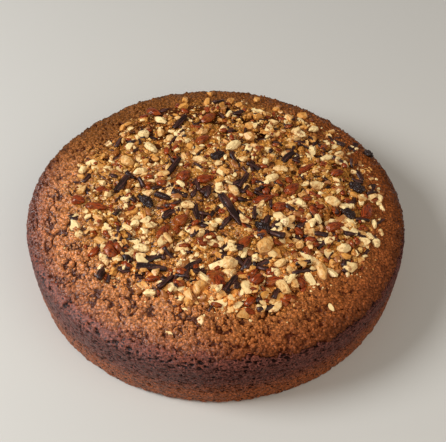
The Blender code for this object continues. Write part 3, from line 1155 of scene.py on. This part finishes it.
def dress(name, kind, material, voxel, rounds, relief, cuts=0):
    """All large toppings of a kind as one piece: each solid refined, rounded and given its surface."""
    whole = bmesh.new()
    draw = np.random.default_rng(SEEDS[kind])
    for node in toppings(kind):
        bm = refined(node, voxel)
        local = bm.verts.layers.float_vector.new("local")
        tone, proud, crest, rise = [bm.verts.layers.float.new(key) for key in NUMBERS]
        centre, axes = local_axes(bm)
        chop(bm, centre, draw, cuts)
        edges = soften(bm, rounds)
        shade = draw.random()
        bm.normal_update()
        for v, edge in zip(bm.verts, edges):
            spot = axes @ (v.co - centre)
            v[local] = spot + Vector((shade * 0.5, 0, 0))
            v[tone] = shade
            v[proud] = edge / voxel
            v[crest] = relief(spot, shade) / MM
            v[rise] = spot.z / (2 * MM)
        for v in bm.verts:
            v.co += v.normal * v[crest] * MM
        part = mesh_of(node, bm)
        whole.from_mesh(part)
        bpy.data.meshes.remove(part)
    piece(name, mesh_of(name, whole), material, KINDS[kind], *toppings(kind))


def nut_relief(spot, shade):
    """Broken flesh: small flat facets that step from one to the next."""
    place = spot / (3.3 * MM) + Vector((shade * 30, 0, 0))
    near = noise.voronoi(place)[1][0]
    facet = (place - near).dot(noise.cell_vector(near * 7.3) - Vector((0.5, 0.5, 0.5)))
    return (0.7 * facet - 0.05) * MM + 0.14 * MM * noise.noise(spot / (1.1 * MM))


def almond_relief(spot, shade):
    """Wrinkles of the skin, which run along the nut."""
    ridges = Vector((spot.x / (6 * MM), spot.y / (0.9 * MM), spot.z / (0.9 * MM) + shade * 30))
    return 0.2 * MM * noise.noise(ridges) + 0.1 * MM * noise.noise(ridges * 2.3)


def sliver_relief(spot, shade):
    """Deep furrows along the sliver."""
    furrow = Vector((spot.x / (11 * MM), spot.y / (0.95 * MM) + shade * 30, spot.z / (1.3 * MM)))
    return (0.62 * noise.noise(furrow) + 0.15 * noise.noise(spot / (0.8 * MM)) - 0.05) * MM


def raisin_relief(spot, shade):
    """Folds of the dried skin."""
    place = spot / (2.3 * MM) + Vector((shade * 30, 0, 0))
    fold = 1 - abs(noise.noise(place + 0.5 * noise.noise_vector(place * 0.7))) * 3
    return (0.9 * noise.noise(place * 0.55) - 0.75 * max(0.0, fold)) * MM


def fused_chips():
    """(middle, direction, half length, half width) of each small nut fused to the cake's solid."""
    form = settings().form
    bm = merged("cake")
    proud = set()
    for v in bm.verts:
        if from_middle(v.co) < form.radius * 0.96 and v.co.z > form.wall_height:
            if v.co.z - crust_height(v.co.x, v.co.y) > PROUD:
                proud.add(v)
    found = []
    while proud:
        group, edge = [], [proud.pop()]
        while edge:
            v = edge.pop()
            group.append(v.co.copy())
            others = [e.other_vert(v) for e in v.link_edges]
            edge += [other for other in others if other in proud]
            proud.difference_update(others)
        if len(group) >= FEWEST_POINTS:
            found.append(footprint(np.array(group)))
    bm.free()
    return sorted(found, key=lambda chip: (round(chip[0][0], 5), round(chip[0][1], 5)))


# ---------------------------------------------------------------- materials


AMBER = (1.0, 0.72, 0.45)
WHITE = (1.0, 1.0, 1.0)


class Recipe:
    """A material being put together: a shader and the nodes that feed it."""

    def __init__(self, name):
        self.material = bpy.data.materials.new(name)
        self.material.use_nodes = True
        self.tree = self.material.node_tree
        self.shader = self.tree.nodes["Principled BSDF"]

    def node(self, kind, inputs=None, **values):
        made = self.tree.nodes.new(kind)
        for key, value in values.items():
            setattr(made, key, value)
        for key, value in (inputs or {}).items():
            self.feed(made.inputs[key], value)
        return made

    def feed(self, socket, value):
        if isinstance(value, bpy.types.NodeSocket):
            self.tree.links.new(value, socket)
        elif hasattr(value, "__len__") and len(value) == 3 and len(socket.default_value) == 4:
            socket.default_value = (*value, 1)
        else:
            socket.default_value = value

    def attribute(self, name, output="Fac"):
        return self.node("ShaderNodeAttribute", attribute_name=name).outputs[output]

    def place(self):
        return self.node("ShaderNodeTexCoord").outputs["Object"]

    def stretched(self, vector, scale):
        return self.node("ShaderNodeMapping", {"Vector": vector, "Scale": scale}).outputs["Vector"]

    def clouds(self, vector, size, detail=3.0, roughness=0.55):
        inputs = {"Vector": vector, "Scale": 1 / size, "Detail": detail, "Roughness": roughness}
        return self.node("ShaderNodeTexNoise", inputs).outputs["Fac"]

    def cells(self, vector, size, feature="F1"):
        inputs = {"Vector": vector, "Scale": 1 / size}
        return self.node("ShaderNodeTexVoronoi", inputs, feature=feature).outputs["Distance"]

    def ramp(self, value, low, high, start=0.0, end=1.0):
        inputs = {"Value": value, "From Min": low, "From Max": high, "To Min": start, "To Max": end}
        made = self.node("ShaderNodeMapRange", inputs, interpolation_type="SMOOTHSTEP")
        return made.outputs["Result"]

    def maths(self, operation, a, b):
        made = self.node("ShaderNodeMath", operation=operation)
        self.feed(made.inputs[0], a)
        self.feed(made.inputs[1], b)
        return made.outputs[0]

    def times(self, a, b):
        return self.maths("MULTIPLY", a, b)

    def plus(self, a, b):
        return self.maths("ADD", a, b)

    def larger(self, a, b):
        return self.maths("MAXIMUM", a, b)

    def axis(self, name):
        return self.node("ShaderNodeSeparateXYZ", {"Vector": self.place()}).outputs[name]

    def blend(self, factor, a, b):
        made = self.node("ShaderNodeMix", data_type="RGBA")
        self.feed(made.inputs["Factor"], factor)
        self.feed(made.inputs[6], a)
        self.feed(made.inputs[7], b)
        return made.outputs[2]

    def shaded(self, colour, light):
        """The colour made lighter or darker by a number that varies over the surface."""
        made = self.node("ShaderNodeVectorMath", operation="SCALE")
        self.feed(made.inputs[0], colour)
        self.feed(made.inputs["Scale"], light)
        return made.outputs[0]

    def bump(self, height, depth):
        inputs = {"Height": height, "Distance": depth, "Strength": 1.0}
        return self.node("ShaderNodeBump", inputs).outputs["Normal"]

    def from_axis(self):
        """Distance from the cake's axis, up to 14 mm more in patches."""
        flat = self.stretched(self.place(), (1, 1, 0))
        radius = self.node("ShaderNodeVectorMath", {0: flat}, operation="LENGTH").outputs["Value"]
        return self.plus(radius, self.times(self.clouds(self.place(), 12 * MM, 2), 14 * MM))

    def near_shoulder(self):
        """0 at the topping, 1 where the top crust ends."""
        return self.ramp(self.from_axis(), 103 * MM, 124 * MM)

    def far_side(self):
        """0 on the near half of the cake, 1 toward its far rim."""
        return self.ramp(self.axis("Y"), 0, 70 * MM)

    def browned(self):
        """0 where the oven coloured the cake least, 1 where it coloured it most; toward that side it is also
        painted shade, away from the window lamp.
        """
        toward = self.plus(self.axis("X"), self.times(self.axis("Y"), -0.25))
        drift = self.times(self.clouds(self.place(), 40 * MM, 2), 90 * MM)
        return self.ramp(self.plus(toward, drift), -10 * MM, 150 * MM)

    def thinned_and_lit(self, colour):
        """This colour of glazed crumb, lighter on the near side, partly where the glaze thins out and partly
        as painted light.
        """
        near = self.ramp(self.axis("Y"), -35 * MM, -75 * MM, 0, 0.75)
        return self.blend(near, colour, settings().finish.thin)

    def baked(self, colour):
        """This colour of baked crumb, redder at the shoulder, darker toward the top crust's edge, and
        browner behind and on one side, where it is partly painted shade.
        """
        finish = settings().finish
        colour = self.blend(self.times(self.near_shoulder(), 0.95), colour, finish.shoulder)
        # partly painted shade: browner and darker behind, and on the brown side away from the window lamp
        colour = self.blend(self.times(self.far_side(), 0.95), colour, finish.far_rim_and_shade)
        near = self.ramp(self.axis("Y"), -60 * MM, 20 * MM, 0.75, 1.0)
        colour = self.blend(self.times(self.browned(), near), colour, finish.scorched_and_shaded)
        return self.shaded(colour, self.ramp(self.from_axis(), 114 * MM, 124 * MM, 1, 0.55))

    def gloss(self, most, least):
        """Shine of the crust: most away from its brown, partly shaded side, little on that side and behind.
        """
        return self.ramp(self.larger(self.browned(), self.far_side()), 0, 0.8, most, least)

    def finish(self, colour, roughness, normal=None, shine=0.5, **more):
        """The finished material, from what feeds the shader's sockets."""
        sockets = {"Base Color": colour, "Roughness": roughness, "Specular IOR Level": shine}
        if normal is not None:
            sockets["Normal"] = normal
        for name, value in (*sockets.items(), *more.items()):
            self.feed(self.shader.inputs[name.replace("_", " ")], value)
        return self.material


def top_material():
    """Baked crumb of the top: golden and glossy under the topping, red-brown round it."""
    finish = settings().finish
    r = Recipe("top_crust")
    place = r.place()
    glaze, hollow = r.attribute("glaze"), r.attribute("hollow")
    fine = r.clouds(place, 0.9 * MM, 4, 0.65)
    grain = r.cells(place, 1.6 * MM)
    glazed = r.blend(r.ramp(r.clouds(place, 6 * MM, 2), 0.42, 0.68), finish.glazed, finish.toasted)
    colour = r.blend(glaze, r.baked(finish.baked), r.thinned_and_lit(glazed))
    colour = r.shaded(colour, r.ramp(fine, 0.33, 0.67, 0.5, 1.6))
    # painted light and shade: each crumb cell is lighter in its middle and darker at its rim, as light falls
    # on a rounded grain
    colour = r.shaded(colour, r.ramp(grain, 0.15, 0.75, 1.2, 0.55))
    # painted shade in the hollows: the crevice colour on the ring, the gap colour between the nuts
    deep = r.blend(glaze, finish.crevice_shade, finish.soaked)
    colour = r.blend(r.ramp(hollow, 0.05, 0.8, 0, 0.92), colour, deep)
    relief = r.plus(r.times(grain, -0.9), r.times(fine, 0.4))
    rough = r.ramp(glaze, 0, 1, 0.32, 0.24)
    return r.finish(colour, rough, r.bump(relief, 0.7 * MM), r.gloss(0.52, 0.08))


def side_material():
    """Fine brown crumb of the side: darkest below the top crust, paler at the foot partly as painted bounce
    light, with pores painted black as shade.
    """
    finish = settings().finish
    r = Recipe("side_crust")
    place = r.place()
    hollow = r.attribute("hollow")
    fine = r.clouds(place, 0.8 * MM, 4, 0.7)
    ragged = r.plus(r.axis("Z"), r.times(r.clouds(place, 11 * MM), 9 * MM))
    # partly painted light: paler toward the foot, for light bounced up from below as well as the crumb's
    # colour
    colour = r.blend(r.ramp(ragged, 32 * MM, 13 * MM), finish.side_upper, finish.side_lower_and_bounce_light)
    shoulder = r.shaded(r.blend(r.far_side(), finish.shoulder, finish.far_rim_and_shade), 0.7)
    colour = r.blend(r.ramp(ragged, 42 * MM, 49 * MM), colour, shoulder)
    # partly painted shade: the side is a little darker on the cake's brown side, away from the window lamp
    colour = r.shaded(colour, r.ramp(r.browned(), 0, 1, 1.0, 0.9))
    colour = r.shaded(colour, r.ramp(fine, 0.37, 0.63, 0.4, 1.9))
    colour = r.shaded(colour, r.ramp(r.cells(place, 1.4 * MM), 0.2, 0.75, 1.15, 0.65))
    # painted shade: the pores and the side's hollows are coloured near black
    spots = r.cells(r.stretched(place, (1, 1, 2.2)), 3.0 * MM)
    pore = r.ramp(r.plus(spots, r.times(fine, 0.3)), 0.44, 0.40)
    colour = r.blend(r.larger(pore, r.ramp(hollow, 0.15, 0.8, 0, 0.95)), colour, finish.pore)
    relief = r.maths("SUBTRACT", r.times(fine, 0.7), r.times(pore, 0.8))
    return r.finish(colour, 0.45, r.bump(relief, 0.4 * MM), r.gloss(0.36, 0.06))


def crumb_material(name, rough, shine=0.5):
    """Loose crumbs: red-brown outside the glaze, golden and cream inside it, with painted shade in the
    hollows and on the darkest crumbs.

    A shine of None varies round the cake as the crust's does, and its highlights stay white.
    """
    finish = settings().finish
    r = Recipe(name)
    place = r.place()
    tone, glaze, hollow = r.attribute("tone"), r.attribute("glaze"), r.attribute("hollow")
    fine = r.clouds(place, 0.9 * MM, 2)
    baked = r.blend(r.ramp(tone, 0.0, 0.75), finish.baked_dark, finish.baked)
    baked = r.shaded(r.baked(baked), r.ramp(tone, 0, 1, 0.75, 1.25))
    # painted shade: the darkest crumbs take the gap colour, standing for the shade between the crumbs
    golden = r.blend(r.ramp(tone, 0.05, 0.2), finish.soaked, finish.toasted)
    golden = r.blend(r.ramp(tone, 0.2, 0.5), golden, finish.glazed)
    golden = r.blend(r.ramp(tone, 0.78, 1.0), golden, finish.glazed_pale)
    colour = r.blend(glaze, baked, r.thinned_and_lit(golden))
    colour = r.shaded(colour, r.ramp(fine, 0.3, 0.7, 0.7, 1.3))
    # painted shade for crumbs in hollows: crevice colour outside the glaze, gap colour inside it
    deep = r.blend(glaze, finish.crevice_shade, finish.soaked)
    colour = r.blend(r.ramp(hollow, 0.15, 1, 0, 0.85), colour, deep)
    gloss = r.gloss(0.7, 0.1) if shine is None else shine
    return r.finish(colour, rough, r.bump(fine, 0.2 * MM), gloss, Specular_Tint=AMBER if shine else WHITE)


def nut_material(name, gold, proud):
    """Cut nut: cream to golden flesh, browned in patches and along its edges, and darker in the low steps
    between facets and toward its bottom.
    """
    finish = settings().finish
    r = Recipe(name)
    local, tone = r.attribute("local", "Vector"), r.attribute("tone")
    patches = r.clouds(local, 3.2 * MM, 3)
    fine = r.clouds(local, 0.7 * MM, 3)
    mottled = r.plus(r.times(patches, 0.7), r.times(tone, 0.6))
    colour = r.blend(r.ramp(mottled, 0.45 - gold, 0.95 - gold), finish.nut_pale, finish.nut_gold)
    toast = r.ramp(r.plus(r.times(fine, 0.35), patches), 0.70 - gold, 0.88 - 0.5 * gold)
    if proud:
        rim = r.ramp(r.attribute("proud"), 0.15, 0.6, 0, 0.8)
        rim = r.times(rim, r.ramp(patches, 0.35, 0.6))
        # darker in the low steps between the facets
        groove = r.ramp(r.attribute("crest"), 0.0, -0.35, 0, 0.5)
        toast = r.larger(toast, r.larger(rim, groove))
    # darker toward the bottom of each piece
    toast = r.larger(toast, r.ramp(r.attribute("rise"), 0.1, -0.6))
    colour = r.blend(r.times(toast, 0.85), colour, finish.nut_toasted)
    return r.finish(colour, 0.4, r.bump(fine, 0.15 * MM), 0.4)


def skin_material(name, proud):
    """Red-brown nut skin with fine lengthwise wrinkles and a shine of honey."""
    finish = settings().finish
    r = Recipe(name)
    local, tone = r.attribute("local", "Vector"), r.attribute("tone")
    wrinkle = r.clouds(r.stretched(local, (0.22, 1, 1)), 0.8 * MM, 3)
    patches = r.plus(r.clouds(local, 3.5 * MM, 2), r.times(tone, 0.3))
    colour = r.blend(r.ramp(wrinkle, 0.35, 0.6), finish.skin_dark, finish.skin)
    colour = r.blend(r.ramp(patches, 0.6, 1, 0, 0.5), colour, finish.toasted)
    if proud:
        colour = r.blend(r.ramp(r.attribute("proud"), 0.35, 0.9, 0, 0.35), colour, finish.nut_gold)
    honey = {"Specular_Tint": AMBER, "Coat_Weight": 0.2, "Coat_Roughness": 0.12}
    return r.finish(colour, 0.26, r.bump(wrinkle, 0.25 * MM), 0.4, **honey)


def fruit_material(name, crest):
    """Dark dried fruit: brown ridges over furrows painted black as shade."""
    finish = settings().finish
    r = Recipe(name)
    local = r.attribute("local", "Vector")
    furrow = r.clouds(r.stretched(local, (0.12, 1, 1)), 0.8 * MM, 2)
    ridge = r.ramp(furrow, 0.4, 0.66)
    if crest:
        ridge = r.times(r.ramp(r.attribute("crest"), -0.15, 0.3), r.ramp(furrow, 0.3, 0.6, 0.35, 1))
    # painted shade: the furrows are near black
    colour = r.blend(ridge, finish.fruit_furrow_shade, finish.fruit)
    return r.finish(colour, 0.36, r.bump(furrow, 0.3 * MM), 0.3)


def raisin_material():
    """Raisin skin: nearly black, finely folded, with painted shade in its folds and a dull shine."""
    finish = settings().finish
    r = Recipe("raisin_skin")
    folds = r.clouds(r.attribute("local", "Vector"), 1.2 * MM, 3)
    crest = r.ramp(r.attribute("crest"), -0.35, 0.05)
    # painted shade: the folds are darker
    colour = r.blend(r.times(crest, folds), finish.fruit_furrow_shade, finish.raisin)
    return r.finish(colour, 0.34, r.bump(folds, 0.3 * MM), 0.35)


# ---------------------------------------------------------------- operators


class HoneyCakeCrust(bpy.types.Operator):
    """Builds the cake itself: its side, and the baked ring and glazed middle of its top"""

    bl_idname = "honey_cake.crust"
    bl_label = "Crust"

    def execute(self, context):
        material = top_material()
        piece("side", side_mesh(), side_material(), "crust", "cake")
        piece("baked_ring", ring_mesh(), material, "crust")
        piece("glazed_middle", middle_mesh(), material, "crust")
        return {"FINISHED"}


class HoneyCakeCrumbs(bpy.types.Operator):
    """Builds the loose crumbs on the crust, round the topping and under it"""

    bl_idname = "honey_cake.crumbs"
    bl_label = "Crumbs"

    def execute(self, context):
        form = settings().form
        mesh = crumb_mesh("baked_crumbs", form.ring_spacing, False)
        piece("baked_crumbs", mesh, crumb_material("baked_crumb", 0.34, None), "crust")
        mesh = crumb_mesh("glazed_crumbs", form.middle_spacing, True)
        piece("glazed_crumbs", mesh, crumb_material("glazed_crumb", 0.26), "crust")
        piece("crumble", crumble_mesh(), crumb_material("crumble", 0.24), "crust")
        piece("clusters", cluster_mesh(), crumb_material("cluster", 0.22), "crust")
        return {"FINISHED"}


class HoneyCakeNuts(bpy.types.Operator):
    """Builds the large pieces of chopped nut"""

    bl_idname = "honey_cake.nuts"
    bl_label = "Large nuts"

    def execute(self, context):
        flesh = nut_material("nut_flesh", -0.1, True)
        dress("large_nuts", "nut", flesh, NUT_VOXEL, 1, nut_relief, cuts=6)
        return {"FINISHED"}


class HoneyCakeAlmonds(bpy.types.Operator):
    """Builds the red-skinned almonds"""

    bl_idname = "honey_cake.almonds"
    bl_label = "Almonds"

    def execute(self, context):
        dress("almonds", "almond", skin_material("almond_skin", True), NUT_VOXEL, 5, almond_relief)
        return {"FINISHED"}


class HoneyCakeSlivers(bpy.types.Operator):
    """Builds the slivers of dark dried fruit"""

    bl_idname = "honey_cake.slivers"
    bl_label = "Fruit slivers"

    def execute(self, context):
        fruit = fruit_material("dried_fruit", True)
        dress("fruit_slivers", "sliver", fruit, FRUIT_VOXEL, 2, sliver_relief)
        return {"FINISHED"}


class HoneyCakeRaisins(bpy.types.Operator):
    """Builds the raisins"""

    bl_idname = "honey_cake.raisins"
    bl_label = "Raisins"

    def execute(self, context):
        dress("raisins", "raisin", raisin_material(), FRUIT_VOXEL, 4, raisin_relief)
        return {"FINISHED"}


class HoneyCakeChips(bpy.types.Operator):
    """Builds the small chopped nuts: those fused to the cake's solid, and finer ones between them"""

    bl_idname = "honey_cake.chips"
    bl_label = "Small nuts"

    def execute(self, context):
        topping = settings().topping
        draw = np.random.default_rng(SEEDS["nut_forms"])
        chips = [chip_form(draw) for _ in range(CHIP_FORMS)]
        chips += [chip_form(draw, curved) for curved in (0.5, -0.6, 0.7)]
        forms = chips + [slice_form(draw) for _ in range(SLICE_FORMS)]
        fused = fused_mesh(chips, draw)
        pale = nut_material("small_nut_flesh", 0.0, False)
        piece("fused_nuts", fused, pale, "nut_flesh").data.shade_flat()
        golden = nut_material("glazed_nut_flesh", 0.42, False)
        mesh = strew("glazed_nuts", forms, topping.glazed_chips, **STREWN["glazed_nuts"])
        piece("glazed_nuts", mesh, golden, "nut_flesh")
        grains = [grain_form(draw) for _ in range(SPECK_FORMS)]
        kinds = (("small_nuts", forms, topping.chips), ("nut_specks", grains, topping.specks))
        for name, shapes, number in kinds:
            mesh = strew(name, shapes, number, **STREWN[name])
            piece(name, mesh, pale, "nut_flesh").data.shade_flat()
        piece("nut_curls", curls_mesh(draw), pale, "nut_flesh").data.shade_flat()
        return {"FINISHED"}


class HoneyCakeBits(bpy.types.Operator):
    """Builds the small bits of red skin and of dark fruit"""

    bl_idname = "honey_cake.bits"
    bl_label = "Bits"

    def execute(self, context):
        topping = settings().topping
        draw = np.random.default_rng(SEEDS["bit_forms"])
        forms = [lump_form(draw, 0.35) for _ in range(5)] + [chip_form(draw) for _ in range(3)]
        mesh = strew("red_bits", forms, topping.red_bits, **STREWN["red_bits"])
        piece("red_bits", mesh, skin_material("small_skin", False), "almond_skin")
        forms = [stick_form(draw) for _ in range(7)] + [lump_form(draw, 0.5) for _ in range(2)]
        mesh = strew("dark_bits", forms, topping.dark_bits, **STREWN["dark_bits"])
        piece("dark_bits", mesh, fruit_material("small_fruit", False), "dried_fruit")
        return {"FINISHED"}


# ---------------------------------------------------------------- the stage

CAMERA_AIM = Vector((4.3 * MM, 0, 28.7 * MM))
CAMERA_DISTANCE = 0.65
CAMERA_ELEVATION = math.radians(48.4)
CAMERA_LENS = 82.55
CAMERA_SHIFT = 0.002
CAMERA_SENSOR = 36
FLOOR_SIZE = 20.0
FLOOR_STAIN = (0.5, 0.5, 0.5)
SKY_COLOUR = (0.97, 0.98, 1.0, 1)
SKY_STRENGTH = 0.23

# The lights: name, place, width in metres, watts and colour.
LIGHTS = (
    ("window", (-0.92, -0.12, 0.78), 0.6, 15, (0.9, 0.95, 1.0)),
    ("room", (0.6, -0.7, 1.0), 1.5, 7.6, (1.0, 0.93, 0.82)),
)


def aimed(obj, place):
    """Puts a lamp or the camera at this place, turned to the cake."""
    obj.location = place
    obj.rotation_euler = (CAMERA_AIM - Vector(place)).to_track_quat("-Z", "Y").to_euler()
    bpy.context.scene.collection.objects.link(obj)


def add_floor():
    bm = bmesh.new()
    bmesh.ops.create_grid(bm, x_segments=1, y_segments=1, size=FLOOR_SIZE / 2)
    mesh = mesh_of("floor", bm)
    floor = bpy.data.objects.new("floor", mesh)
    bpy.context.scene.collection.objects.link(floor)
    r = Recipe("floor")
    stain = r.ramp(r.clouds(r.place(), 0.4, 2), 0.3, 0.7, 0, 0.08)
    colour = r.blend(stain, settings().finish.floor, FLOOR_STAIN)
    mesh.materials.append(r.finish(colour, 0.6))


def add_lights():
    for name, place, size, watts, tint in LIGHTS:
        light = bpy.data.lights.new(name, "AREA")
        light.shape = "DISK"
        light.size = size
        light.energy = watts
        light.color = tint
        aimed(bpy.data.objects.new(name, light), place)
    world = bpy.data.worlds.new("room")
    world.use_nodes = True
    sky = world.node_tree.nodes["Background"].inputs
    sky["Color"].default_value = SKY_COLOUR
    sky["Strength"].default_value = SKY_STRENGTH
    bpy.context.scene.world = world
    bpy.context.scene.view_settings.view_transform = "Standard"


def add_camera():
    camera = bpy.data.cameras.new("camera")
    camera.lens = CAMERA_LENS
    camera.sensor_width = CAMERA_SENSOR
    camera.shift_y = CAMERA_SHIFT
    back = Vector((0, -math.cos(CAMERA_ELEVATION), math.sin(CAMERA_ELEVATION)))
    obj = bpy.data.objects.new("camera", camera)
    aimed(obj, CAMERA_AIM + back * CAMERA_DISTANCE)
    bpy.context.scene.camera = obj


class HoneyCakeStage(bpy.types.Operator):
    """Sets the floor, the lights and the camera"""

    bl_idname = "honey_cake.stage"
    bl_label = "Stage"

    def execute(self, context):
        add_floor()
        add_lights()
        add_camera()
        return {"FINISHED"}


OPERATORS = (
    HoneyCakeCrust,
    HoneyCakeCrumbs,
    HoneyCakeNuts,
    HoneyCakeAlmonds,
    HoneyCakeSlivers,
    HoneyCakeRaisins,
    HoneyCakeChips,
    HoneyCakeBits,
    HoneyCakeStage,
)


class HoneyCakePanel(bpy.types.Panel):
    """Lists the cake's pieces and its settings"""

    bl_idname = "VIEW3D_PT_honey_cake"
    bl_label = "Honey cake"
    bl_space_type = "VIEW_3D"
    bl_region_type = "UI"
    bl_category = "Honey cake"

    def draw(self, context):
        for operator in OPERATORS:
            self.layout.operator(operator.bl_idname)
        cake = context.scene.honey_cake
        for group in (cake.form, cake.topping, cake.finish):
            box = self.layout.box()
            for name in group.__annotations__:
                box.prop(group, name)


CLASSES = (
    HoneyCakeForm,
    HoneyCakeTopping,
    HoneyCakeFinish,
    HoneyCakeSettings,
    *OPERATORS,
    HoneyCakePanel,
)


def register():
    for each in CLASSES:
        bpy.utils.register_class(each)
    bpy.types.Scene.honey_cake = PointerProperty(type=HoneyCakeSettings)


def unregister():
    del bpy.types.Scene.honey_cake
    for each in reversed(CLASSES):
        bpy.utils.unregister_class(each)


def main():
    register()
    noise.seed_set(NOISE_SEED)
    for operator in OPERATORS:
        group, name = operator.bl_idname.split(".")
        getattr(getattr(bpy.ops, group), name)()


if __name__ == "__main__":
    main()
